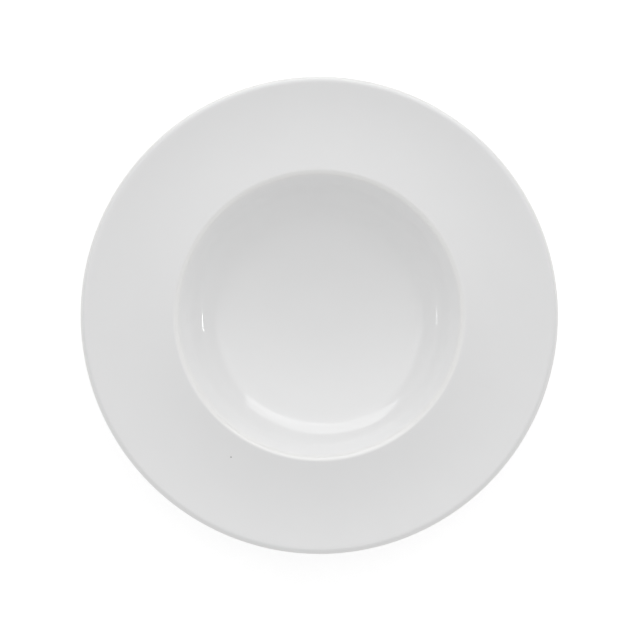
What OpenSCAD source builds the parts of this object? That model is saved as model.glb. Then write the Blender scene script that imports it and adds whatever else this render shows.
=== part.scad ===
// Rimmed soup plate: a deep round well inside a broad, gently dished rim, on a foot ring.
//
// The plate is one half section turned about the Z axis. The section is a chain of straight
// lines, and each of its corners carries a radius. The fired body is that section. The glaze
// is a skin that runs parallel to it, over the whole plate but for the wiped standing face.
// The origin is the centre of the standing face, and +Z is up.

/* [Plate] */
// Outer diameter over the glazed lip
plate_d = 270; // [240:1:300]
// Thickness of the body under the rim
rim_t = 4.2; // [3.5:0.1:5.5]
// Thickness of the body in the wall of the well
wall_t = 4.6; // [3.5:0.1:6]
// Thickness of the body at the centre of the floor
floor_t = 5; // [4:0.1:7]

/* [Well] */
// Diameter of the well at its upper edge
well_d = 162; // [156:1:175]
// Depth of the well, from its upper edge to the centre of the floor
well_depth = 31; // [24:0.5:38]
// Diameter at which the floor and the wall would meet without a fillet
floor_d = 142; // [130:1:146]
// Height by which the floor climbs from its centre to the wall
floor_dish = 4.5; // [2:0.1:6]
// Radius of the fillet between the floor and the wall
floor_fillet_r = 24; // [12:1:26]
// Radius of the well's upper edge
well_edge_r = 2.7; // [1.5:0.1:4]

/* [Rim] */
// Slope of the rim beside the well, in degrees
rim_inner_slope = 0.5; // [0:0.1:2]
// Height by which the rim's outer edge stands above the well's edge
rim_rise = 4; // [2.5:0.1:8]
// Fall of the lip from its crest to its nose, in degrees
lip_fall = 9; // [2:0.5:12]
// Radius of the cove below the rim, against the outside of the well
cove_r = 12; // [6:0.5:16]

/* [Foot] */
// Outer diameter of the foot ring at its standing face
foot_d = 112; // [100:1:116]
// Width of the standing face, before its edges are eased
foot_land_w = 4.2; // [3:0.1:6]
// Height of the recess inside the foot ring, at the ring
foot_recess = 4.6; // [4.5:0.1:8]
// Height by which the recess rises towards its centre
foot_crown = 0.6; // [0.2:0.1:1]
// Lean of the ring's outer side from upright, in degrees
foot_outer_lean = 12; // [5:1:20]
// Lean of the ring's inner side from upright, in degrees
foot_inner_lean = 28; // [15:1:40]
// Radius of the fillets at the top of the ring
foot_fillet_r = 2.6; // [1:0.1:3.5]
// Radius that eases both edges of the standing face
foot_edge_r = 0.9; // [0.5:0.1:1.2]
// Slope of the underside from the foot ring out to the wall, in degrees
belly_slope = 14; // [8:1:20]
// Least width of the underside between the foot ring and the wall
belly_min_w = 4; // [2:0.5:8]

/* [Glaze] */
// Thickness of the glaze
glaze_t = 0.3; // [0.15:0.01:0.5]
// Height above the standing face at which the wiped edge of the glaze begins
glaze_line_h = 1.4; // [1.2:0.1:2.2]

/* [Hidden] */

// Sides of the turned shape, and the longest steps along a rounded corner
turn_sides = 180;
arc_step_angle = 5;
arc_step_length = 4.5;

// Where the floor bends, as a share of its radius
floor_bend_share = 0.45;

// Shares of their lines that the sweeping curves round off
floor_bow_share = 0.95;
rim_bow_share = 0.95;
belly_bow_share = 0.92;
crown_bow_share = 0.8;

// How far the lip's shoulder lies inside the lip, and how far it sweeps, as shares
shoulder_in_share = 0.93;
shoulder_sweep_share = 0.48;

// How much of the lip's full round the nose takes
nose_share = 0.98;

// How far the glaze's thinned edge reaches, in glaze thicknesses
glaze_taper_scale = 2;

// Vectors, lines and headings in the section's plane
function along(heading) = [cos(heading), sin(heading)];
function left_of(heading) = [-sin(heading), cos(heading)];
function heading_of(a, b) = atan2(b[1] - a[1], b[0] - a[0]);
function turn_of(h1, h2) = (h2 - h1 + 540) % 360 - 180;
function point(p) = [p[0], p[1]];
function cross_z(u, v) = u[0] * v[1] - u[1] * v[0];

// Where a line through p at heading h meets a line through q at heading g
function meet(p, h, q, g) = p + along(h) * cross_z(q - p, along(g)) / cross_z(along(h), along(g));

// Rounding a corner between two headings: the reach along each line, and the radius that has it
function reach_of(r, h1, h2) = r * tan(abs(turn_of(h1, h2)) / 2);
function radius_for(reach, h1, h2) = reach / tan(abs(turn_of(h1, h2)) / 2);

// Places on the face of the body, and the slopes between them
body_r = plate_d / 2 - glaze_t;
floor_z = foot_recess + foot_crown + floor_t;
edge_z = floor_z + well_depth;
floor_centre = [0, floor_z];
floor_bend = [floor_d / 2 * floor_bend_share, floor_z];
floor_corner = [floor_d / 2, floor_z + floor_dish];
well_edge = [well_d / 2, edge_z];
floor_slope = heading_of(floor_bend, floor_corner);
wall_slope = heading_of(floor_corner, well_edge);
edge_reach = reach_of(well_edge_r, wall_slope, rim_inner_slope);
wall_room = (norm(well_edge - floor_corner) - edge_reach) * floor_bow_share;
fillet_reach = min(reach_of(floor_fillet_r, floor_slope, wall_slope), wall_room);
fillet_r = radius_for(fillet_reach, floor_slope, wall_slope);
floor_room = min(floor_bend[0], norm(floor_corner - floor_bend) - fillet_reach);
floor_bow_r = radius_for(floor_room * floor_bow_share, 0, floor_slope);

// Places on the rim, whose two lines bend halfway between the well and the lip's shoulder
shoulder_in = rim_t * shoulder_in_share;
shoulder = [body_r - shoulder_in, edge_z + rim_rise];
rim_bend_r = (well_edge[0] + shoulder[0]) / 2;
rim_bend = [rim_bend_r, edge_z + (rim_bend_r - well_edge[0]) * tan(rim_inner_slope)];
rim_outer_slope = heading_of(rim_bend, shoulder);
shoulder_reach = shoulder_in * shoulder_sweep_share;
shoulder_r = radius_for(shoulder_reach, rim_outer_slope, -lip_fall);
rim_room = min(norm(rim_bend - well_edge) - edge_reach, norm(shoulder - rim_bend) - shoulder_reach);
rim_reach = rim_room * rim_bow_share;
rim_bow_r = radius_for(rim_reach, rim_inner_slope, rim_outer_slope);

// Places on the nose of the lip and under the rim
under_outer = shoulder - left_of(rim_outer_slope) * rim_t;
under_inner = well_edge - left_of(rim_inner_slope) * rim_t;
under_bend = meet(under_outer, rim_outer_slope, under_inner, rim_inner_slope);
nose_top = meet(shoulder, -lip_fall, [body_r, 0], 90);
nose_bottom = meet(under_outer, rim_outer_slope, [body_r, 0], 90);
nose_reach_sum = reach_of(1, -lip_fall, -90) + reach_of(1, -90, rim_outer_slope - 180);
nose_r = (nose_top[1] - nose_bottom[1]) / nose_reach_sum * nose_share;

// Places on the foot ring
land_out = [foot_d / 2, 0];
land_in = [foot_d / 2 - foot_land_w, 0];
ring_top = meet(land_out, 90 - foot_outer_lean, [0, foot_recess + foot_crown], 0);
ring_reach = reach_of(foot_fillet_r, belly_slope, 90 - foot_outer_lean);

// Places on the outside of the wall, which runs beside the inside from the belly up to the cove.
// The belly is the corner between the underside and the wall, and it stays outside the foot ring.
outer_wall = floor_corner - left_of(wall_slope) * wall_t;
wall_foot = meet(outer_wall, wall_slope, ring_top, belly_slope);
belly_w = max(wall_foot[0] - ring_top[0], belly_min_w);
belly = ring_top + along(belly_slope) * belly_w / cos(belly_slope);
cove = meet(outer_wall, wall_slope, under_inner, rim_inner_slope);
outer_slope = heading_of(belly, cove);
cove_reach = reach_of(cove_r, outer_slope, rim_inner_slope);
belly_room = min(norm(belly - ring_top) - ring_reach, norm(cove - belly) - cove_reach);
belly_r = radius_for(belly_room * belly_bow_share, belly_slope, outer_slope);
under_reach = min(rim_reach, (norm(under_bend - cove) - cove_reach) * rim_bow_share);
under_bow_r = radius_for(under_reach, rim_inner_slope, rim_outer_slope);

// Places in the recess inside the foot ring
recess_corner = meet(land_in, 90 + foot_inner_lean, [0, foot_recess], 0);
crown_bend = [recess_corner[0] / 2, foot_recess + foot_crown];
crown_slope = heading_of(recess_corner, crown_bend);
crown_bow_r = radius_for(norm(crown_bend - recess_corner) * crown_bow_share, crown_slope, 180);
recess_centre = [0, foot_recess + foot_crown];

function with_radius(p, r) = [p[0], p[1], r];

// Corners of the glazed outside, from the centre of the floor over the lip to the foot ring
outside_corners = [
    with_radius(floor_centre, 0),
    with_radius(floor_bend, floor_bow_r),
    with_radius(floor_corner, fillet_r),
    with_radius(well_edge, well_edge_r),
    with_radius(rim_bend, rim_bow_r),
    with_radius(shoulder, shoulder_r),
    with_radius(nose_top, nose_r),
    with_radius(nose_bottom, nose_r),
    with_radius(under_bend, under_bow_r),
    with_radius(cove, cove_r),
    with_radius(belly, belly_r),
    with_radius(ring_top, foot_fillet_r)
];
land_corners = [
    with_radius(land_out, foot_edge_r),
    with_radius(land_in, foot_edge_r)
];

// Corners of the recess inside the foot ring, from the ring to the centre
recess_corners = [
    with_radius(recess_corner, foot_fillet_r),
    with_radius(crown_bend, crown_bow_r),
    with_radius(recess_centre, 0)
];

// Points of one rounded corner, lifted off the body by a distance
function arc_steps(r, turn) = max(
    ceil(abs(turn) / arc_step_angle),
    ceil(r * abs(turn) * PI / 180 / arc_step_length));
function corner_points(before, corner, after, lift) =
    let (
        h = heading_of(before, corner),
        turn = turn_of(h, heading_of(corner, after)),
        r = corner[2],
        side = sign(turn),
        start = point(corner) - along(h) * r * tan(abs(turn) / 2),
        centre = start + left_of(h) * side * r,
        steps = arc_steps(r, turn)
    )
    [for (i = [0:steps]) centre + left_of(h + turn * i / steps) * (lift - side * r)];

// A chain of rounded corners, lifted off the body by a distance
function skin(corners, lift) =
    let (
        last = len(corners) - 1,
        first_heading = heading_of(corners[0], corners[1]),
        last_heading = heading_of(corners[last - 1], corners[last])
    )
    [
        point(corners[0]) + left_of(first_heading) * lift,
        for (i = [1:last - 1]) each corner_points(corners[i - 1], corners[i], corners[i + 1], lift),
        point(corners[last]) + left_of(last_heading) * lift
    ];

function reversed(list) = [for (i = [len(list) - 1:-1:0]) list[i]];

module turned(points) {
    rotate_extrude($fn = turn_sides)
        polygon(points);
}

// The fired body, whose standing face stays bare
module porcelain_body() {
    color([0.93, 0.92, 0.89])
        turned(skin(concat(outside_corners, land_corners, recess_corners), 0));
}

// Height at which the glaze ends on the body, and the height at which it has its full thickness
function on_outer_side(h) = meet(land_out, 90 - foot_outer_lean, [0, h], 0);
function on_inner_side(h) = meet(land_in, 90 + foot_inner_lean, [0, h], 0);
glaze_full_h = glaze_line_h + glaze_t * glaze_taper_scale;

// Glaze on the face, over the lip, down the outside and on the ring's outer side
module glaze_coat() {
    inner = skin(concat(outside_corners, [on_outer_side(glaze_line_h)]), 0);
    outer = skin(concat(outside_corners, [on_outer_side(glaze_full_h)]), glaze_t);
    color([0.88, 0.89, 0.9])
        turned(concat(outer, reversed(inner)));
}

// Glaze inside the foot ring, parted from the coat by the bare standing face
module foot_recess_glaze() {
    inner = skin(concat([on_inner_side(glaze_line_h)], recess_corners), 0);
    outer = skin(concat([on_inner_side(glaze_full_h)], recess_corners), glaze_t);
    color([0.85, 0.86, 0.87])
        turned(concat(outer, reversed(inner)));
}

porcelain_body();
glaze_coat();
foot_recess_glaze();
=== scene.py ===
"""Rimmed soup plate: white glazed porcelain, seen from straight above in soft studio light.

The plate is one half section turned about the Z axis. The section is a chain of straight lines,
and each of its corners carries a radius. The fired body is that section, and the glaze is a skin
that runs parallel to it. Lengths are in metres and +Z is up. Angles are in radians, apart from those
of the lamps and of the light tent, which are in degrees.
"""

import math
from collections import namedtuple
import bpy
from bpy.props import FloatProperty, FloatVectorProperty, IntProperty, PointerProperty
from bpy.types import Operator, Panel, PropertyGroup
from mathutils import Euler, Matrix, Vector


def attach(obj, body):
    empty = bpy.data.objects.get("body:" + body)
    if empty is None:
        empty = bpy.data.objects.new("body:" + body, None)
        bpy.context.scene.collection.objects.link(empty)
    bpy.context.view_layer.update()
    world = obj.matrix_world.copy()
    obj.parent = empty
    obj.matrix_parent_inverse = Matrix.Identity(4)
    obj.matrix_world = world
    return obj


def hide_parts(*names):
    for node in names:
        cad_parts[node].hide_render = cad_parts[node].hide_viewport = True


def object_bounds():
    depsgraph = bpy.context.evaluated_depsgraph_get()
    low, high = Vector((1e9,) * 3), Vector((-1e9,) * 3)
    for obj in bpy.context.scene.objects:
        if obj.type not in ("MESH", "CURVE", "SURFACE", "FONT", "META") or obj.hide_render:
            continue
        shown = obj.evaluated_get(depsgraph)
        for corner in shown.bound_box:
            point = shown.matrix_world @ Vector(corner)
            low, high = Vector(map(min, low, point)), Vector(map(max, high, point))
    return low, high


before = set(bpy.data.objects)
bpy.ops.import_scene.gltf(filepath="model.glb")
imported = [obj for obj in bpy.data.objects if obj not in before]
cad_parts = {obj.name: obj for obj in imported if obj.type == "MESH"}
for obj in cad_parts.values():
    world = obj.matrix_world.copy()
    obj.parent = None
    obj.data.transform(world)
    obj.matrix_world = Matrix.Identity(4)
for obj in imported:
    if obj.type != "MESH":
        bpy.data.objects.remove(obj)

bl_info = {
    "name": "Rimmed soup plate",
    "version": (1, 0, 0),
    "blender": (4, 5, 0),
    "location": "3D View > Sidebar > Plate",
    "description": "Builds a glazed porcelain soup plate and a small studio round it",
    "category": "Object",
}

CAD_LOW, CAD_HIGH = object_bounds()

# The picture in pixels: its side, the plate's centre and outer radius, and the speck on the rim
PICTURE_SIDE_PX = 640
PLATE_CENTRE_PX = (319.3, 315.3)
PLATE_RADIUS_PX = 239.3
SPECK_PX = (230.7, 457.6)


def length(name, description, default):
    """A size in metres that the panel shows in the scene's unit."""
    return FloatProperty(
        name=name,
        description=description,
        default=default,
        min=0,
        precision=4,
        subtype="DISTANCE",
        unit="LENGTH",
    )


def angle(name, description, degrees):
    """An angle that is written in degrees and kept in radians."""
    return FloatProperty(
        name=name,
        description=description,
        default=math.radians(degrees),
        subtype="ANGLE",
    )


def share(name, description, default):
    """A number from 0 to 1."""
    return FloatProperty(name=name, description=description, default=default, min=0, max=1)


def number(name, description, default):
    """A plain number."""
    return FloatProperty(name=name, description=description, default=default)


def colour(name, description, default):
    """A linear colour."""
    return FloatVectorProperty(
        name=name,
        description=description,
        default=default,
        size=3,
        min=0,
        max=1,
        subtype="COLOR",
    )


class PlateSizes(PropertyGroup):
    """Sizes of the plate's half section."""

    plate_d: length("Plate diameter", "Outer diameter over the glazed lip", CAD_HIGH.x - CAD_LOW.x)
    rim_t: length("Rim thickness", "Thickness of the body under the rim", 0.0042)
    wall_t: length("Wall thickness", "Thickness of the body in the wall of the well", 0.0046)
    floor_t: length("Floor thickness", "Thickness of the body at the centre of the floor", 0.005)
    well_d: length("Well diameter", "Diameter of the well at its upper edge", 0.162)
    well_depth: length("Well depth", "From the well's upper edge to the centre of the floor", 0.031)
    floor_d: length("Floor diameter", "Where floor and wall would meet without a fillet", 0.142)
    floor_dish: length("Floor dish", "Height by which the floor climbs to the wall", 0.0045)
    floor_fillet_r: length("Floor fillet", "Radius between the floor and the wall", 0.024)
    well_edge_r: length("Well edge", "Radius of the well's upper edge", 0.0027)
    rim_inner_slope: angle("Inner rim slope", "Slope of the rim beside the well", 0.5)
    rim_rise: length("Rim rise", "Height of the rim's outer edge above the well's edge", 0.00385)
    lip_fall: angle("Lip fall", "Fall of the lip from its crest to its nose", 9)
    cove_r: length("Cove", "Radius under the rim, against the outside of the well", 0.012)
    foot_d: length("Foot diameter", "Outer diameter of the foot ring at its standing face", 0.112)
    foot_land_w: length("Standing face", "Width of the standing face before it is eased", 0.0042)
    foot_recess: length("Recess height", "Height of the recess at the foot ring", 0.0046)
    foot_crown: length("Recess crown", "Height by which the recess rises to its centre", 0.0006)
    foot_outer_lean: angle("Outer lean", "Lean of the ring's outer side from upright", 12)
    foot_inner_lean: angle("Inner lean", "Lean of the ring's inner side from upright", 28)
    foot_fillet_r: length("Foot fillets", "Radius of the fillets at the top of the ring", 0.0026)
    foot_edge_r: length("Foot edges", "Radius that eases both edges of the standing face", 0.0009)
    belly_slope: angle("Belly slope", "Slope of the underside out to the wall", 14)
    glaze_t: length("Glaze thickness", "Thickness of the glaze", 0.0003)
    glaze_line_h: length("Glaze line", "Height at which the wiped edge of the glaze begins", 0.0014)
    wipe_wave_h: length("Wiped edge wave", "How far the wiped edge wanders up and down", 0.0005)


class MeshSizes(PropertyGroup):
    """Fineness of the turned meshes."""

    segments: IntProperty(name="Segments", description="Steps round the plate", default=288, min=16)
    seen_step: angle("Seen step", "Longest turn between two points of a seen corner", 4)
    seen_length: length("Seen length", "Longest step along a seen curve", 0.0025)
    hidden_step: angle("Hidden step", "Longest turn between two points of a hidden corner", 9)
    hidden_length: length("Hidden length", "Longest step along a hidden curve", 0.008)


class GlazeLook(PropertyGroup):
    """Colour, gloss and surface of the glaze."""

    base: colour("Glaze", "Colour of the glaze over white porcelain", (0.850, 0.851, 0.853))
    thin: colour("Thin glaze", "Colour where the glaze has run thin, on edges", (0.925, 0.922, 0.912))
    # Painted light: a lighter glaze colour over the well's face that lifts the shade in the well
    well_painted_light: colour("Painted well light", "Lighter glaze colour over the well, as painted light", (0.888, 0.889, 0.890))
    face_fade: share("Face fade", "Upward share of the normal over which face turns to underside", 0.1)
    mottle: share("Mottling", "How far the colour wanders over the plate", 0.012)
    roughness: share("Roughness", "Roughness of the glossy glaze", 0.025)
    roughness_spread: share("Roughness spread", "How far the roughness wanders", 0.02)
    index: number("Glaze index", "Index of refraction of the glaze", 1.5)
    peel_h: length("Orange peel", "Height of the fine dimpling", 0.0000012)
    peel_w: length("Orange peel width", "Width of one dimple", 0.0022)
    ring_h: length("Turning rings", "Height of the faint rings left by the turning tool", 0.000004)
    ring_w: length("Turning ring width", "Distance from one turning ring to the next", 0.0017)
    ring_wander: number("Ring wander", "Radians by which the turning rings run out of true", 4)
    sag_h: length("Glaze sag", "Height of the slow waves in the glaze", 0.000012)
    sag_w: length("Glaze sag width", "Length of the slow waves in the glaze", 0.022)
    speck: colour("Speck", "Colour of an iron speck under the glaze", (0.22, 0.215, 0.21))
    speck_d: length("Speck diameter", "Diameter of the one clear speck", 0.0008)
    speck_core: share("Speck core", "Share of its diameter out to which the speck is darkest", 0.2)
    speck_end: share("Speck end", "Share of its diameter at which the speck has faded out", 0.6)
    speck_rag: share("Speck raggedness", "Share of its diameter by which the speck's edge wanders", 0.5)
    pinhole_w: length("Pinhole spacing", "Distance between the faint pinholes", 0.026)
    pinhole_d: length("Pinhole diameter", "Diameter of a faint pinhole", 0.0005)
    pinhole_share: share("Pinhole depth", "How much a pinhole darkens the glaze", 0.18)


class PorcelainLook(PropertyGroup):
    """Colour and grain of the bare fired body."""

    base: colour("Bare porcelain", "Colour of the unglazed body", (0.82, 0.806, 0.772))
    grain_dark: colour("Grain", "Colour of the darker grain", (0.74, 0.724, 0.69))
    grain_w: length("Grain width", "Width of one grain", 0.0006)
    grain_from: share("Grain from", "Value of the noise up to which the grain is darkest", 0.35)
    grain_to: share("Grain to", "Value of the noise from which the grain is lightest", 0.65)
    scuff: colour("Scuff", "Colour where the ring has rubbed on tables", (0.60, 0.59, 0.57))
    scuff_w: length("Scuff width", "Length of the scuffed stretches", 0.012)
    scuff_h: length("Scuff height", "Height up to which the ring is scuffed", 0.0004)
    scuff_from: share("Scuff from", "Value of the noise at which a scuff begins", 0.5)
    scuff_to: share("Scuff to", "Value of the noise at which a scuff is strongest", 0.72)
    scuff_share: share("Scuff strength", "How much of its colour a scuff shows", 0.5)
    scuff_polish: share("Scuff polish", "How much smoother a full scuff is", 0.3)
    roughness: share("Bare roughness", "Roughness of the unglazed body", 0.78)
    grain_h: length("Grain height", "Height of the grain", 0.00004)


class StudioSizes(PropertyGroup):
    """Camera, floor and even light."""

    camera_lens: number("Lens", "Focal length in millimetres", 100)
    floor_w: length("Floor width", "Width of the floor", 6)
    floor_gap: length("Floor gap", "From the standing face down to the floor", 0.0001)
    floor_grey: share("Floor grey", "Shade of the floor for light that falls on it", 0.8)
    backdrop: number("Backdrop", "White that a look at the floor adds to its lit shade", 0.5)
    sky: number("Sky", "Strength of the even light", 0.655)


# A corner of the section: its place as (r, z), and the radius that rounds it
Corner = namedtuple("Corner", "place radius")

# The three chains of corners, and the ends of the glaze on both sides of the foot ring.
# Each end is two places on the ring's side: where the glaze is still full, and where it is gone.
Section = namedtuple("Section", "outside land recess outer_end inner_end outer_side inner_side")

# Shares that the solid's curves have too
FLOOR_BEND_SHARE = 0.45
FLOOR_BOW_SHARE = 0.95
RIM_BOW_SHARE = 0.95
BELLY_BOW_SHARE = 0.92
CROWN_BOW_SHARE = 0.8
NOSE_SHARE = 0.98
GLAZE_TAPER_SCALE = 2

# The lip's shoulder: its distance from the edge in rim thicknesses, and the share of that distance
# which its rounding sweeps. It lies nearer to the edge than the solid's shoulder.
SHOULDER_IN_SHARE = 0.56
SHOULDER_SWEEP_SHARE = 0.24

WHITE = (1, 1, 1, 1)

LEVEL = 0.0
UPRIGHT = math.pi / 2


def along(heading):
    return Vector((math.cos(heading), math.sin(heading)))


def left_of(heading):
    return Vector((-math.sin(heading), math.cos(heading)))


def heading_of(a, b):
    return math.atan2(b.y - a.y, b.x - a.x)


def turn_of(first, second):
    return (second - first + math.pi) % math.tau - math.pi


def meet(p, h, q, g):
    """Where a line through p at heading h meets a line through q at heading g."""
    return p + along(h) * ((q - p).cross(along(g)) / along(h).cross(along(g)))


def reach_of(radius, first, second):
    """How far along each line a corner's rounding reaches."""
    return radius * math.tan(abs(turn_of(first, second)) / 2)


def radius_for(reach, first, second):
    """The radius whose rounding has that reach."""
    return reach / math.tan(abs(turn_of(first, second)) / 2)


def plate_section(s):
    """Corners of the half section, worked out from the sizes as the solid's are."""
    body_r = s.plate_d / 2 - s.glaze_t
    floor_z = s.foot_recess + s.foot_crown + s.floor_t
    edge_z = floor_z + s.well_depth

    # The floor, its fillet and the well's edge
    floor_bend = Vector((s.floor_d / 2 * FLOOR_BEND_SHARE, floor_z))
    floor_corner = Vector((s.floor_d / 2, floor_z + s.floor_dish))
    well_edge = Vector((s.well_d / 2, edge_z))
    floor_slope = heading_of(floor_bend, floor_corner)
    wall_slope = heading_of(floor_corner, well_edge)
    edge_reach = reach_of(s.well_edge_r, wall_slope, s.rim_inner_slope)
    fillet_reach = reach_of(s.floor_fillet_r, floor_slope, wall_slope)
    floor_room = min(floor_bend.x, (floor_corner - floor_bend).length - fillet_reach)
    floor_bow_r = radius_for(floor_room * FLOOR_BOW_SHARE, LEVEL, floor_slope)

    # The rim, which bends halfway between the well and the lip's shoulder
    shoulder_in = s.rim_t * SHOULDER_IN_SHARE
    shoulder = Vector((body_r - shoulder_in, edge_z + s.rim_rise))
    rim_bend_r = (well_edge.x + shoulder.x) / 2
    rim_bend = Vector((rim_bend_r, edge_z + (rim_bend_r - well_edge.x) * math.tan(s.rim_inner_slope)))
    rim_outer_slope = heading_of(rim_bend, shoulder)
    shoulder_reach = shoulder_in * SHOULDER_SWEEP_SHARE
    shoulder_r = radius_for(shoulder_reach, rim_outer_slope, -s.lip_fall)
    inner_room = (rim_bend - well_edge).length - edge_reach
    outer_room = (shoulder - rim_bend).length - shoulder_reach
    rim_reach = min(inner_room, outer_room) * RIM_BOW_SHARE
    rim_bow_r = radius_for(rim_reach, s.rim_inner_slope, rim_outer_slope)

    # The nose of the lip and the underside of the rim
    under_outer = shoulder - left_of(rim_outer_slope) * s.rim_t
    under_inner = well_edge - left_of(s.rim_inner_slope) * s.rim_t
    under_bend = meet(under_outer, rim_outer_slope, under_inner, s.rim_inner_slope)
    edge_line = Vector((body_r, 0))
    nose_top = meet(shoulder, -s.lip_fall, edge_line, UPRIGHT)
    nose_bottom = meet(under_outer, rim_outer_slope, edge_line, UPRIGHT)
    top_reach = reach_of(1, -s.lip_fall, -UPRIGHT)
    bottom_reach = reach_of(1, -UPRIGHT, rim_outer_slope - math.pi)
    nose_r = (nose_top.y - nose_bottom.y) / (top_reach + bottom_reach) * NOSE_SHARE

    # The foot ring
    land_out = Vector((s.foot_d / 2, 0))
    land_in = Vector((s.foot_d / 2 - s.foot_land_w, 0))
    outer_side = UPRIGHT - s.foot_outer_lean
    inner_side = UPRIGHT + s.foot_inner_lean
    ring_top = meet(land_out, outer_side, Vector((0, s.foot_recess + s.foot_crown)), LEVEL)
    ring_reach = reach_of(s.foot_fillet_r, s.belly_slope, outer_side)

    # The outside of the wall
    outer_wall = floor_corner - left_of(wall_slope) * s.wall_t
    belly = meet(outer_wall, wall_slope, ring_top, s.belly_slope)
    cove = meet(outer_wall, wall_slope, under_inner, s.rim_inner_slope)
    cove_reach = reach_of(s.cove_r, wall_slope, s.rim_inner_slope)
    belly_room = min((belly - ring_top).length - ring_reach, (cove - belly).length - cove_reach)
    belly_r = radius_for(belly_room * BELLY_BOW_SHARE, s.belly_slope, wall_slope)
    under_reach = min(rim_reach, ((under_bend - cove).length - cove_reach) * RIM_BOW_SHARE)
    under_bow_r = radius_for(under_reach, s.rim_inner_slope, rim_outer_slope)

    # The recess inside the foot ring
    recess_corner = meet(land_in, inner_side, Vector((0, s.foot_recess)), LEVEL)
    crown_bend = Vector((recess_corner.x / 2, s.foot_recess + s.foot_crown))
    crown_slope = heading_of(recess_corner, crown_bend)
    crown_reach = (crown_bend - recess_corner).length * CROWN_BOW_SHARE
    crown_bow_r = radius_for(crown_reach, crown_slope, math.pi)

    def on_side(foot, heading, height):
        return Corner(meet(foot, heading, Vector((0, height)), LEVEL), 0)

    full_h = s.glaze_line_h + s.glaze_t * GLAZE_TAPER_SCALE
    return Section(
        outside=[
            Corner(Vector((0, floor_z)), 0),
            Corner(floor_bend, floor_bow_r),
            Corner(floor_corner, s.floor_fillet_r),
            Corner(well_edge, s.well_edge_r),
            Corner(rim_bend, rim_bow_r),
            Corner(shoulder, shoulder_r),
            Corner(nose_top, nose_r),
            Corner(nose_bottom, nose_r),
            Corner(under_bend, under_bow_r),
            Corner(cove, s.cove_r),
            Corner(belly, belly_r),
            Corner(ring_top, s.foot_fillet_r),
        ],
        land=[Corner(land_out, s.foot_edge_r), Corner(land_in, s.foot_edge_r)],
        recess=[
            Corner(recess_corner, s.foot_fillet_r),
            Corner(crown_bend, crown_bow_r),
            Corner(Vector((0, s.foot_recess + s.foot_crown)), 0),
        ],
        outer_end=(on_side(land_out, outer_side, full_h), on_side(land_out, outer_side, s.glaze_line_h)),
        inner_end=(on_side(land_in, inner_side, full_h), on_side(land_in, inner_side, s.glaze_line_h)),
        outer_side=along(outer_side),
        inner_side=along(inner_side),
    )


# Fineness of a chain: the longest turn and the longest step between two points
Fineness = namedtuple("Fineness", "turn step")


def straight_points(a, b, step):
    """Points between a and b, without a and b themselves, at most a step apart."""
    count = max(1, math.ceil((b - a).length / step))
    return [a.lerp(b, i / count) for i in range(1, count)]


def corner_points(before, corner, after, lift, fine):
    """Points of one rounded corner, lifted off the body."""
    heading = heading_of(before.place, corner.place)
    turn = turn_of(heading, heading_of(corner.place, after.place))
    side = math.copysign(1, turn)
    start = corner.place - along(heading) * corner.radius * math.tan(abs(turn) / 2)
    centre = start + left_of(heading) * side * corner.radius
    by_turn = abs(turn) / fine.turn
    by_length = corner.radius * abs(turn) / fine.step
    steps = math.ceil(max(by_turn, by_length))
    reach = lift - side * corner.radius
    return [centre + left_of(heading + turn * i / steps) * reach for i in range(steps + 1)]


def skin(corners, lift, fine):
    """Points of a whole chain of rounded corners, lifted off the body."""
    first_heading = heading_of(corners[0].place, corners[1].place)
    last_heading = heading_of(corners[-2].place, corners[-1].place)
    stretches = [[corners[0].place + left_of(first_heading) * lift]]
    for before, corner, after in zip(corners, corners[1:], corners[2:]):
        stretches.append(corner_points(before, corner, after, lift, fine))
    stretches.append([corners[-1].place + left_of(last_heading) * lift])
    points = stretches[0]
    for stretch in stretches[1:]:
        points += straight_points(points[-1], stretch[0], fine.step)
        points += stretch
    return points


class Wire:
    """An output of a node. Arithmetic on it adds Math nodes to the same tree."""

    def __init__(self, tree, socket):
        self.tree = tree
        self.socket = socket

    def __add__(self, other):
        return maths(self.tree, "ADD", self, other)

    def __radd__(self, other):
        return maths(self.tree, "ADD", other, self)

    def __sub__(self, other):
        return maths(self.tree, "SUBTRACT", self, other)

    def __rsub__(self, other):
        return maths(self.tree, "SUBTRACT", other, self)

    def __mul__(self, other):
        return maths(self.tree, "MULTIPLY", self, other)

    def __rmul__(self, other):
        return maths(self.tree, "MULTIPLY", other, self)

    def __truediv__(self, other):
        return maths(self.tree, "DIVIDE", self, other)

    def __rtruediv__(self, other):
        return maths(self.tree, "DIVIDE", other, self)


def node(tree, kind, settings=None, inputs=None, output=0):
    """Adds a node: its settings first, then the values or links of its sockets. Returns one output."""
    made = tree.nodes.new(kind)
    for name, value in (settings or {}).items():
        setattr(made, name, value)
    for name, value in (inputs or {}).items():
        socket = made.inputs[name]
        if isinstance(value, Wire):
            tree.links.new(value.socket, socket)
        else:
            socket.default_value = value
    return Wire(tree, made.outputs[output]) if len(made.outputs) else made


def maths(tree, operation, *terms):
    """A Math node with its terms in order."""
    return node(tree, "ShaderNodeMath", {"operation": operation}, dict(enumerate(terms)))


def vector_maths(tree, operation, *terms, output="Vector"):
    """A Vector Math node with its terms in order."""
    settings = {"operation": operation}
    return node(tree, "ShaderNodeVectorMath", settings, dict(enumerate(terms)), output)


def part_of(vector, axis):
    """The X, Y or Z of a vector."""
    return node(vector.tree, "ShaderNodeSeparateXYZ", {}, {"Vector": vector}, output=axis)


def smooth_step(wire, low, high):
    """0 below low, 1 above high, and a smooth climb between them."""
    return node(
        wire.tree,
        "ShaderNodeMapRange",
        {"interpolation_type": "SMOOTHSTEP"},
        {"Value": wire, "From Min": low, "From Max": high},
    )


def bend(wire, low, high):
    """A value's 0 to 1 brought to low to high."""
    return wire * (high - low) + low


# The Mix node's sockets for colours, which share their names with those for other kinds
MIX_FIRST_COLOUR = 6
MIX_SECOND_COLOUR = 7
MIX_COLOUR_RESULT = 2


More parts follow.
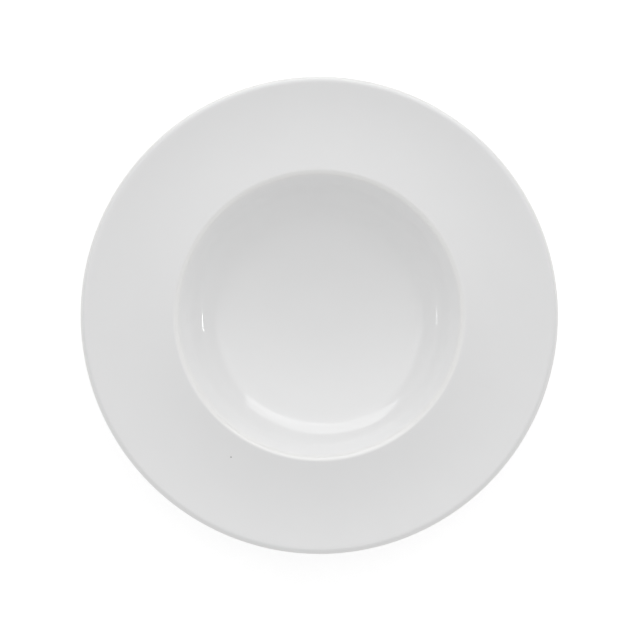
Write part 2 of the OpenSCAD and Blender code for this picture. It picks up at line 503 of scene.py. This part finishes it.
def mix_colour(factor, first, second):
    """One colour fading into another."""
    settings = {"data_type": "RGBA", "blend_type": "MIX", "clamp_factor": True}
    inputs = {"Factor": factor, MIX_FIRST_COLOUR: first, MIX_SECOND_COLOUR: second}
    return node(factor.tree, "ShaderNodeMix", settings, inputs, output=MIX_COLOUR_RESULT)


def looked_at(tree):
    """1 for rays from the camera, in a mirror or through glass, and 0 for rays that only light."""
    kinds = ("Is Camera Ray", "Is Glossy Ray", "Is Transmission Ray")
    camera, glossy, through = [node(tree, "ShaderNodeLightPath", output=kind) for kind in kinds]
    return maths(tree, "MINIMUM", camera + glossy + through, 1)


def rgba(values, gain=1):
    """A colour with its alpha."""
    return (*[value * gain for value in values], 1)


def turning_tree():
    """A tree that turns a section about the Z axis, from axis to axis, into one closed mesh.

    The section's points carry "slide", the way in which a point may wander as the plate is wiped.
    """
    tree = bpy.data.node_groups.new("turn_a_section", "GeometryNodeTree")
    tree.interface.new_socket("Geometry", in_out="INPUT", socket_type="NodeSocketGeometry")
    for name, kind in (
        ("Segments", "NodeSocketInt"),
        ("Wave Height", "NodeSocketFloat"),
        ("Wave Scale", "NodeSocketFloat"),
        ("Crease Angle", "NodeSocketFloat"),
        ("Weld Distance", "NodeSocketFloat"),
        ("Seed", "NodeSocketInt"),
        ("Material", "NodeSocketMaterial"),
    ):
        tree.interface.new_socket(name, in_out="INPUT", socket_type=kind)
    tree.interface.new_socket("Geometry", in_out="OUTPUT", socket_type="NodeSocketGeometry")
    given = tree.nodes.new("NodeGroupInput")

    def value(name):
        return Wire(tree, given.outputs[name])

    section = value("Geometry")
    count = node(tree, "GeometryNodeAttributeDomainSize", {"component": "MESH"}, {"Geometry": section})
    grid = node(
        tree,
        "GeometryNodeMeshGrid",
        {},
        {
            "Size X": count - 1,
            "Size Y": value("Segments"),
            "Vertices X": count,
            "Vertices Y": value("Segments") + 1,
        },
    )
    place = node(tree, "GeometryNodeInputPosition")

    # The grid's X, from its middle, counts the section's points, and its Y counts the segments
    index = maths(tree, "ROUND", part_of(place, "X") + (count - 1) / 2)
    turned = (part_of(place, "Y") / value("Segments") + 0.5) * math.tau

    def on_section(field):
        return node(
            tree,
            "GeometryNodeSampleIndex",
            {"data_type": "FLOAT_VECTOR", "domain": "POINT"},
            {"Geometry": section, "Value": field, "Index": index},
        )

    slide_name = {"data_type": "FLOAT_VECTOR"}
    slide = on_section(node(tree, "GeometryNodeInputNamedAttribute", slide_name, {"Name": "slide"}))

    # Noise on a circle, which meets itself after a full turn
    bearing = maths(tree, "FLOORED_MODULO", turned, math.tau)
    ring = node(
        tree,
        "ShaderNodeCombineXYZ",
        {},
        {"X": maths(tree, "COSINE", bearing), "Y": maths(tree, "SINE", bearing)},
    )
    wave = node(
        tree,
        "ShaderNodeTexNoise",
        {"noise_dimensions": "4D"},
        {"Vector": ring, "W": value("Seed"), "Scale": value("Wave Scale"), "Detail": 2.0},
    )
    wander = (wave - NOISE_MIDDLE) * value("Wave Height")
    both_ways = node(tree, "ShaderNodeCombineXYZ", {}, {"X": wander, "Z": wander})
    moved = vector_maths(tree, "MULTIPLY_ADD", slide, both_ways, on_section(place))
    spun = node(
        tree,
        "ShaderNodeVectorRotate",
        {"rotation_type": "Z_AXIS"},
        {"Vector": moved, "Angle": turned},
    )
    sheet = node(tree, "GeometryNodeSetPosition", {}, {"Geometry": grid, "Position": spun})
    welded = node(
        tree,
        "GeometryNodeMergeByDistance",
        {},
        {"Geometry": sheet, "Distance": value("Weld Distance")},
    )
    smooth = node(tree, "GeometryNodeSetShadeSmooth", {"domain": "FACE"}, {"Geometry": welded})
    fold = node(tree, "GeometryNodeInputMeshEdgeAngle")
    creased = node(
        tree,
        "FunctionNodeCompare",
        {"data_type": "FLOAT", "operation": "GREATER_THAN"},
        {"A": fold, "B": value("Crease Angle")},
    )
    edges = node(
        tree,
        "GeometryNodeSetShadeSmooth",
        {"domain": "EDGE"},
        {"Geometry": smooth, "Selection": creased, "Shade Smooth": False},
    )
    real = node(tree, "GeometryNodeRealizeInstances", {}, {"Geometry": edges})
    painted = node(
        tree,
        "GeometryNodeSetMaterial",
        {},
        {"Geometry": real, "Material": value("Material")},
    )
    result = tree.nodes.new("NodeGroupOutput")
    tree.links.new(painted.socket, result.inputs["Geometry"])
    return tree


NOISE_MIDDLE = 0.5
WAVE_SCALE = 5.0
CREASE_ANGLE = math.radians(35)
WELD_DISTANCE = 1e-7
TRIANGLES_AT_MOST = 200_000


def turned_piece(name, points, slides, material, wave_h, seed):
    """Turns a chain of section points into a finished mesh piece. slides are its wandering points."""
    wire = bpy.data.meshes.new(name + "_section")
    places = [(p.x, 0, p.y) for p in points]
    edges = [(i, i + 1) for i in range(len(points) - 1)]
    wire.from_pydata(places, edges, [])
    slide = wire.attributes.new("slide", "FLOAT_VECTOR", "POINT")
    for i, way in slides.items():
        slide.data[i].vector = (way.x, 0, way.y)
    holder = bpy.data.objects.new(name + "_section", wire)
    bpy.context.scene.collection.objects.link(holder)

    tree = turning_tree()
    modifier = holder.modifiers.new("Turn", "NODES")
    modifier.node_group = tree
    values = {
        "Segments": bpy.context.scene.plate_mesh.segments,
        "Wave Height": wave_h,
        "Wave Scale": WAVE_SCALE,
        "Crease Angle": CREASE_ANGLE,
        "Weld Distance": WELD_DISTANCE,
        "Seed": seed,
        "Material": material,
    }
    for item in tree.interface.items_tree:
        if item.in_out == "INPUT" and item.name in values:
            modifier[item.identifier] = values[item.name]
    evaluated = holder.evaluated_get(bpy.context.evaluated_depsgraph_get())
    mesh = bpy.data.meshes.new_from_object(evaluated)
    mesh.name = name
    holder.modifiers.remove(modifier)
    bpy.data.objects.remove(holder)
    bpy.data.meshes.remove(wire)

    piece = bpy.data.objects.new(name, mesh)
    bpy.context.scene.collection.objects.link(piece)
    mesh.calc_loop_triangles()
    if not len(mesh.loop_triangles) or len(mesh.loop_triangles) > TRIANGLES_AT_MOST:
        raise RuntimeError(f"{name} has {len(mesh.loop_triangles)} triangles")
    return piece


def new_material(name):
    """A material with an empty node tree."""
    material = bpy.data.materials.new(name)
    material.use_nodes = True
    material.node_tree.nodes.clear()
    return material


def join_surface(tree, shader):
    """Gives a material's tree its output."""
    output = tree.nodes.new("ShaderNodeOutputMaterial")
    tree.links.new(shader.socket, output.inputs["Surface"])


def noise(tree, place, width, detail=2.0, roughness=0.5, seed=0.0):
    """Soft noise from 0 to 1 whose patches are about as wide as given."""
    return node(
        tree,
        "ShaderNodeTexNoise",
        {"noise_dimensions": "4D"},
        {"Vector": place, "W": seed, "Scale": 1 / width, "Detail": detail, "Roughness": roughness},
    )


# Seeds that keep one noise apart from the next
SCUFF_SEED = 2.0
MATT_SEED = 3.0
WANDER_SEED = 5.0
PEEL_SEED = 7.0
SAG_SEED = 11.0
GAIN_SEED = 13.0


def glaze_material():
    """Clear gloss glaze over white porcelain."""
    look = bpy.context.scene.plate_glaze
    sizes = bpy.context.scene.plate_sizes
    material = new_material("gloss_glaze")
    tree = material.node_tree
    place = node(tree, "ShaderNodeTexCoord", output="Object")
    flat = vector_maths(tree, "MULTIPLY", place, (1, 1, 0))
    reach = vector_maths(tree, "LENGTH", flat, output="Value")

    # 1 on the face of the plate, and 0 on its underside
    facing = node(tree, "ShaderNodeTexCoord", output="Normal")
    face = smooth_step(part_of(facing, "Z"), -look.face_fade, look.face_fade)

    # Slow clouds in the colour, painted light that lightens the glaze over the well, and thinner glaze on
    # the lip and the well's edge
    cloud = noise(tree, place, look.sag_w, detail=3.0)
    clouded = mix_colour(cloud, rgba(look.base, 1 - look.mottle), rgba(look.base, 1 + look.mottle))
    lip = smooth_step(reach, sizes.plate_d / 2 - sizes.rim_t / 2, sizes.plate_d / 2)
    well_r = sizes.well_d / 2
    edge_gap = maths(tree, "ABSOLUTE", reach - well_r)
    edge = (1 - smooth_step(edge_gap, 0, sizes.well_edge_r)) * face
    # Painted light: the glaze over the well's face is lightened to lift the shade in the well
    painted_well_light_mask = (1 - smooth_step(reach, well_r - sizes.well_edge_r, well_r)) * face
    with_painted_well_light = mix_colour(painted_well_light_mask, clouded, rgba(look.well_painted_light))
    run_thin = maths(tree, "MINIMUM", lip + edge, 1)
    glazed = mix_colour(run_thin, with_painted_well_light, rgba(look.thin))

    # Faint pinholes, and one clear speck on the rim
    cells = node(
        tree,
        "ShaderNodeTexVoronoi",
        {"feature": "F1", "voronoi_dimensions": "3D"},
        {"Vector": place, "Scale": 1 / look.pinhole_w},
    )
    gap = cells * look.pinhole_w
    pinhole = (1 - smooth_step(gap, 0, look.pinhole_d / 2)) * look.pinhole_share
    speck_place = picture_place(SPECK_PX)
    away = vector_maths(tree, "DISTANCE", flat, (*speck_place, 0), output="Value")
    rag = (noise(tree, place, look.speck_d / 2) - NOISE_MIDDLE) * look.speck_d * look.speck_rag
    speck = 1 - smooth_step(away + rag, look.speck_d * look.speck_core, look.speck_d * look.speck_end)
    marks = maths(tree, "MAXIMUM", speck * face, pinhole)
    base = mix_colour(marks, glazed, rgba(look.speck))

    # Gloss that wanders a little, over fine dimples, slow waves and the rings of the turning tool
    matt = noise(tree, place, look.sag_w / 2, detail=4.0, seed=MATT_SEED)
    roughness = bend(matt, look.roughness, look.roughness + look.roughness_spread)
    peel = noise(tree, place, look.peel_w, detail=1.0, seed=PEEL_SEED) * look.peel_h
    sag = noise(tree, place, look.sag_w, detail=0.0, seed=SAG_SEED) * look.sag_h
    wander = noise(tree, place, look.sag_w * 2, seed=WANDER_SEED) * look.ring_wander
    ring_gain = noise(tree, flat, look.sag_w * 3, seed=GAIN_SEED)
    rings = maths(tree, "SINE", reach * (math.tau / look.ring_w) + wander) * ring_gain * look.ring_h
    height = peel + sag + rings
    bump = node(tree, "ShaderNodeBump", {}, {"Strength": 1.0, "Distance": 1.0, "Height": height})
    shader = node(
        tree,
        "ShaderNodeBsdfPrincipled",
        {},
        {"Base Color": base, "Roughness": roughness, "Normal": bump, "IOR": look.index},
    )
    join_surface(tree, shader)
    return material


def porcelain_material():
    """Bare fired porcelain: fine matt grain, rubbed grey in places where the plate stands."""
    look = bpy.context.scene.plate_porcelain
    material = new_material("bare_porcelain")
    tree = material.node_tree
    place = node(tree, "ShaderNodeTexCoord", output="Object")
    grain = noise(tree, place, look.grain_w, detail=5.0, roughness=0.65)
    light = smooth_step(grain, look.grain_from, look.grain_to)
    body = mix_colour(light, rgba(look.grain_dark), rgba(look.base))
    rubbed = noise(tree, place, look.scuff_w, detail=6.0, roughness=0.7, seed=SCUFF_SEED)
    low = 1 - smooth_step(part_of(place, "Z"), 0, look.scuff_h)
    scuff = smooth_step(rubbed, look.scuff_from, look.scuff_to) * low * look.scuff_share
    base = mix_colour(scuff, body, rgba(look.scuff))
    roughness = look.roughness - scuff * look.scuff_polish
    bump = node(
        tree,
        "ShaderNodeBump",
        {},
        {"Strength": 1.0, "Distance": 1.0, "Height": grain * look.grain_h},
    )
    shader = node(
        tree,
        "ShaderNodeBsdfPrincipled",
        {},
        {"Base Color": base, "Roughness": roughness, "Normal": bump},
    )
    join_surface(tree, shader)
    return material


def pixel_size():
    """Metres on the rim for one pixel of the picture."""
    return bpy.context.scene.plate_sizes.plate_d / 2 / PLATE_RADIUS_PX


def picture_place(pixel):
    """The place on the plate, seen from above, of a pixel of the picture."""
    right = (pixel[0] - PLATE_CENTRE_PX[0]) * pixel_size()
    up = (PLATE_CENTRE_PX[1] - pixel[1]) * pixel_size()
    return Vector((right, up))


def seen_fineness():
    """Fineness of a surface that shows."""
    mesh = bpy.context.scene.plate_mesh
    return Fineness(mesh.seen_step, mesh.seen_length)


def hidden_fineness():
    """Fineness of a surface that lies against another piece."""
    mesh = bpy.context.scene.plate_mesh
    return Fineness(mesh.hidden_step, mesh.hidden_length)


# Seeds of the wandering glaze edges. The body has no such edge, and its wave height is 0.
BODY_SEED = 1
COAT_SEED = 2
RECESS_SEED = 3


def set_down(piece, slot, *nodes):
    """Rides a piece on the plate's one body, in place of its CAD nodes."""
    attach(piece, "root")
    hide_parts(*nodes)


class PLATE_OT_porcelain_body(Operator):
    """Turn the fired body, whose standing face stays bare"""

    bl_idname = "plate.porcelain_body"
    bl_label = "Porcelain body"

    def execute(self, context):
        section = plate_section(context.scene.plate_sizes)
        points = skin(section.outside + section.land + section.recess, 0, seen_fineness())
        piece = turned_piece("plate_body", points, {}, porcelain_material(), 0, BODY_SEED)
        set_down(piece, "porcelain", "porcelain_body")
        return {"FINISHED"}


class PLATE_OT_glaze_coat(Operator):
    """Coat the plate with glaze, down to the wiped edge on the foot ring's outer side"""

    bl_idname = "plate.glaze_coat"
    bl_label = "Glaze coat"

    def execute(self, context):
        sizes = context.scene.plate_sizes
        section = plate_section(sizes)
        full_end, bare_end = section.outer_end
        outer = skin(section.outside + [full_end], sizes.glaze_t, seen_fineness())
        inner = skin(section.outside + [bare_end], 0, hidden_fineness())
        points = outer + inner[::-1]
        slides = {len(outer) - 1: section.outer_side, len(outer): section.outer_side}
        material = glaze_material()
        piece = turned_piece("plate_glaze", points, slides, material, sizes.wipe_wave_h, COAT_SEED)
        set_down(piece, "glaze", "glaze_coat")
        return {"FINISHED"}


class PLATE_OT_recess_glaze(Operator):
    """Coat the recess inside the foot ring with glaze"""

    bl_idname = "plate.recess_glaze"
    bl_label = "Recess glaze"

    def execute(self, context):
        sizes = context.scene.plate_sizes
        section = plate_section(sizes)
        full_end, bare_end = section.inner_end
        outer = skin([full_end] + section.recess, sizes.glaze_t, seen_fineness())
        inner = skin([bare_end] + section.recess, 0, hidden_fineness())
        points = inner[::-1] + outer
        slides = {len(inner) - 1: section.inner_side, len(inner): section.inner_side}
        material = bpy.data.materials.get("gloss_glaze") or glaze_material()
        piece = turned_piece("recess_glaze", points, slides, material, sizes.wipe_wave_h, RECESS_SEED)
        set_down(piece, "glaze", "foot_recess_glaze")
        return {"FINISHED"}


# A lamp: where it hangs, seen from the plate, its size, its tilt, its radiance and its soft edge.
# The bearing is 0 towards +Y, the top of the picture, and grows towards +X, its right.
# The soft edge is a share of the lamp's side, over which it fades out.
Softbox = namedtuple("Softbox", "name bearing elevation distance width height tilt radiance edge")

SOFTBOXES = (
    Softbox("overhead_box", 0, 66, 1.3, 1.9, 1.55, 0, 1.45, 0.26),
    Softbox("low_box", -3, 33.5, 0.9, 1.30, 0.53, 20, 2.2, 0.02),
    Softbox("left_strip", -89.7, 20, 1.5, 0.25, 0.03, 0, 15, 0.1),
    Softbox("right_strip", 86.5, 21, 1.5, 0.22, 0.03, 0, 24, 0.1),
)

# The light tent: two tiers of panels all round, bright on one side and dark on the other. The
# panels only light, and the glaze doesn't mirror them.
TentTier = namedtuple("TentTier", "name elevation height radiance")

TENT_TIERS = (
    TentTier("low_panel", 17, 0.42, 2.7),
    TentTier("high_panel", 40, 0.42, 0.9),
)
TENT_PANELS = 8
TENT_DISTANCE = 1.3
TENT_WIDTH = 1.0
TENT_EDGE = 0.3

# The bearing on which the tent is brightest, and how fast it darkens away from it
TENT_BEARING = 4
TENT_FALL = 2


def softbox_glow(data, edge):
    """Fades a lamp's radiance out towards its four edges."""
    data.use_nodes = True
    tree = data.node_tree
    tree.nodes.clear()
    spot = node(tree, "ShaderNodeNewGeometry", output="Parametric")
    glow = 1
    for axis in ("X", "Y"):
        along_side = part_of(spot, axis)
        inwards = maths(tree, "MINIMUM", along_side, 1 - along_side)
        glow = smooth_step(inwards, 0, edge) * glow
    shine = node(tree, "ShaderNodeEmission", {}, {"Strength": glow})
    output = tree.nodes.new("ShaderNodeOutputLight")
    tree.links.new(shine.socket, output.inputs["Surface"])


def add_softbox(box, mirrored=True):
    """A rectangular lamp that faces the well. It is either only mirrored or only lights."""
    data = bpy.data.lights.new(box.name, "AREA")
    data.shape = "RECTANGLE"
    data.size = box.width
    data.size_y = box.height
    data.energy = box.radiance * math.pi * box.width * box.height
    softbox_glow(data, box.edge)
    lamp = bpy.data.objects.new(box.name, data)
    turn = Euler((math.radians(box.elevation), 0, -math.radians(box.bearing)))
    way = Vector((0, 1, 0))
    way.rotate(turn)
    lamp.location = Vector((0, 0, CAD_HIGH.z / 2)) + way * box.distance
    facing = way.to_track_quat("Z", "Y").to_matrix()
    lamp.rotation_euler = (facing @ Matrix.Rotation(-math.radians(box.tilt), 3, "Z")).to_euler()
    lamp.visible_camera = False
    lamp.visible_glossy = mirrored
    lamp.visible_diffuse = not mirrored
    bpy.context.scene.collection.objects.link(lamp)


def add_tent_panel(tier, i):
    """One panel of the light tent."""
    bearing = 360 / TENT_PANELS * i
    brightness = ((1 + math.cos(math.radians(bearing - TENT_BEARING))) / 2) ** TENT_FALL
    panel = Softbox(
        name=f"{tier.name}_{i + 1}",
        bearing=bearing,
        elevation=tier.elevation,
        distance=TENT_DISTANCE,
        width=TENT_WIDTH * math.cos(math.radians(tier.elevation)),
        height=tier.height,
        tilt=0,
        radiance=tier.radiance * brightness,
        edge=TENT_EDGE,
    )
    add_softbox(panel, mirrored=False)


class PLATE_OT_studio(Operator):
    """Set the plate on a white floor under soft lamps, with the camera straight above"""

    bl_idname = "plate.studio"
    bl_label = "Studio"

    def execute(self, context):
        self.add_floor(context)
        for box in SOFTBOXES:
            add_softbox(box)
        for tier in TENT_TIERS:
            for i in range(TENT_PANELS):
                add_tent_panel(tier, i)
        self.add_sky(context)
        self.add_camera(context)
        context.scene.view_settings.view_transform = "Standard"
        return {"FINISHED"}

    def add_floor(self, context):
        studio = context.scene.plate_studio
        half = studio.floor_w / 2
        mesh = bpy.data.meshes.new("studio_floor")
        low = -studio.floor_gap
        corners = [(-half, -half, low), (half, -half, low), (half, half, low), (-half, half, low)]
        mesh.from_pydata(corners, [], [(0, 1, 2, 3)])
        floor = bpy.data.objects.new("studio_floor", mesh)
        context.scene.collection.objects.link(floor)
        material = new_material("studio_white")
        tree = material.node_tree
        lit = node(tree, "ShaderNodeBsdfDiffuse", {}, {"Color": rgba([studio.floor_grey] * 3)})
        white = node(tree, "ShaderNodeEmission", {}, {"Strength": studio.backdrop})
        dark = node(tree, "ShaderNodeEmission", {}, {"Strength": 0.0})
        glow = node(tree, "ShaderNodeMixShader", {}, {0: looked_at(tree), 1: dark, 2: white})
        both = node(tree, "ShaderNodeAddShader", {}, {0: lit, 1: glow})

        # Seen from below, the floor is gone, and the underside shows
        behind = node(tree, "ShaderNodeNewGeometry", output="Backfacing")
        passed = node(tree, "ShaderNodeLightPath", output="Transparent Depth")
        gone = maths(tree, "MINIMUM", behind + passed, 1)
        clear = node(tree, "ShaderNodeBsdfTransparent")
        one_sided = node(tree, "ShaderNodeMixShader", {}, {0: gone, 1: both, 2: clear})
        join_surface(tree, one_sided)
        mesh.materials.append(material)

    def add_sky(self, context):
        studio = context.scene.plate_studio
        world = bpy.data.worlds.new("studio_sky")
        world.use_nodes = True
        world.node_tree.nodes.clear()
        tree = world.node_tree
        strength = bend(looked_at(tree), studio.sky, 1)
        sky = node(tree, "ShaderNodeBackground", {}, {"Color": WHITE, "Strength": strength})
        output = tree.nodes.new("ShaderNodeOutputWorld")
        tree.links.new(sky.socket, output.inputs["Surface"])
        context.scene.world = world

    def add_camera(self, context):
        studio = context.scene.plate_studio
        data = bpy.data.cameras.new("overhead_camera")
        data.lens = studio.camera_lens
        camera = bpy.data.objects.new("overhead_camera", data)
        middle = picture_place((PICTURE_SIDE_PX / 2, PICTURE_SIDE_PX / 2))
        frame_w = PICTURE_SIDE_PX * pixel_size()
        far = frame_w / 2 / math.tan(data.angle / 2)
        camera.location = (*middle, CAD_HIGH.z + far)
        context.scene.collection.objects.link(camera)
        context.scene.camera = camera


class PLATE_PT_sidebar(Panel):
    """The plate's steps and sizes"""

    bl_label = "Rimmed soup plate"
    bl_space_type = "VIEW_3D"
    bl_region_type = "UI"
    bl_category = "Plate"

    def draw(self, context):
        for step in STEPS:
            self.layout.operator(step.bl_idname)
        for name in GROUPS:
            group = getattr(context.scene, name)
            box = self.layout.box()
            for prop in group.bl_rna.properties:
                if not prop.is_readonly and prop.identifier != "name":
                    box.prop(group, prop.identifier)


STEPS = (
    PLATE_OT_studio,
    PLATE_OT_porcelain_body,
    PLATE_OT_glaze_coat,
    PLATE_OT_recess_glaze,
)
GROUPS = {
    "plate_sizes": PlateSizes,
    "plate_mesh": MeshSizes,
    "plate_glaze": GlazeLook,
    "plate_porcelain": PorcelainLook,
    "plate_studio": StudioSizes,
}
CLASSES = (*GROUPS.values(), *STEPS, PLATE_PT_sidebar)


def register():
    for cls in CLASSES:
        bpy.utils.register_class(cls)
    for name, group in GROUPS.items():
        setattr(bpy.types.Scene, name, PointerProperty(type=group))


def unregister():
    for name in GROUPS:
        delattr(bpy.types.Scene, name)
    for cls in reversed(CLASSES):
        bpy.utils.unregister_class(cls)


def main():
    register()
    bpy.ops.plate.studio()
    bpy.ops.plate.porcelain_body()
    bpy.ops.plate.glaze_coat()
    bpy.ops.plate.recess_glaze()


if __name__ == "__main__":
    main()
